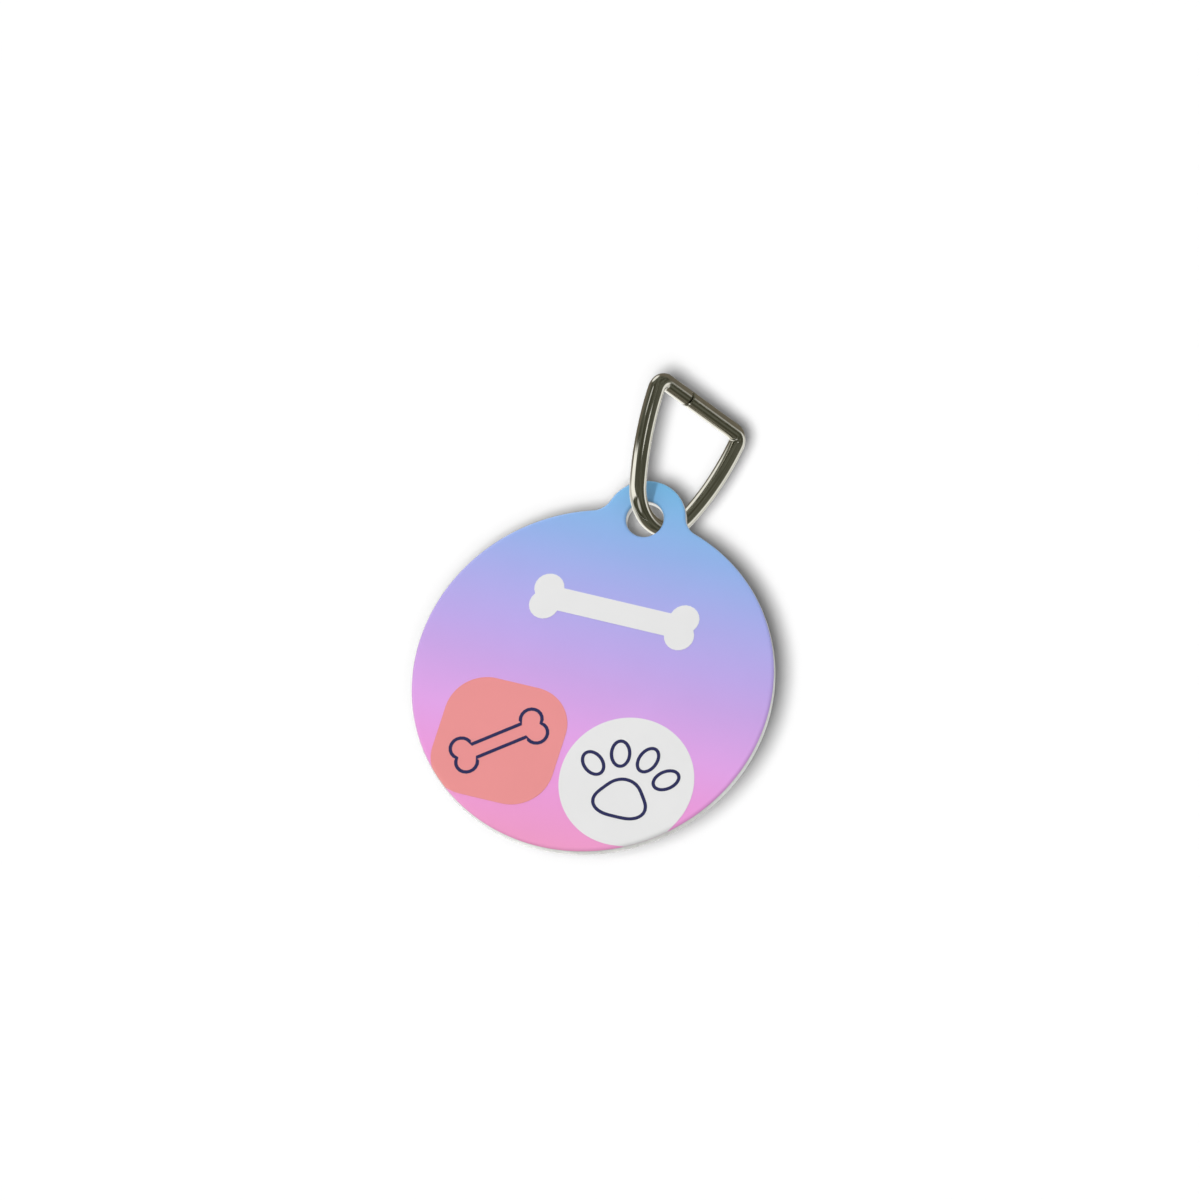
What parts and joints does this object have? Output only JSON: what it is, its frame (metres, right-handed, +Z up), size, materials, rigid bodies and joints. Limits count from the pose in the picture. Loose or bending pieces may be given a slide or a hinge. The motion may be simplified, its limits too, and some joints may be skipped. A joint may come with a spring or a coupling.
{
  "type": "pet tag",
  "caption": "Round printed metal pet tag with a holed tab, hanging on a bent wire ring whose straight bar clips over a collar's ring.",
  "frame": {"origin": "underside of the ring's straight bar at its middle, where the collar's ring bears on it", "axes": "+Z up, with the tag hanging plumb; the printed face looks along -Y; +X to the right of someone facing it"},
  "size_m": [0.03, 0.0108, 0.0411],
  "materials": {
    "nickel_wire": "polished nickel plate",
    "aluminium_core": "die-cut edge, satin",
    "white_coat": "semi-gloss baked coat",
    "sky_to_pink_ink": "semi-gloss print, blue at the top to pink at the bottom",
    "light_ink": "semi-gloss print",
    "coral_ink": "semi-gloss print",
    "navy_ink": "semi-gloss print"
  },
  "bodies": {
    "ring": {"hanging_ring": "nickel_wire"},
    "tag": {"tag_core": "aluminium_core", "front_coat": "white_coat", "back_coat": "white_coat", "print_ground": "sky_to_pink_ink", "bone_mark": "light_ink", "round_badge": "light_ink", "square_badge": "coral_ink", "paw_pad_line": "navy_ink", "paw_toe_line_1": "navy_ink", "paw_toe_line_2": "navy_ink", "paw_toe_line_3": "navy_ink", "paw_toe_line_4": "navy_ink", "small_bone_line": "navy_ink"}
  },
  "joints": [
    {"name": "tag_swing", "type": "hinge", "parent": "ring", "child": "tag", "pos_m": [-0.00121, -0.00022, -0.00992], "axis": [0.4705, 0.8557, -0.2153], "range_deg": [-80, 110]}
  ]
}
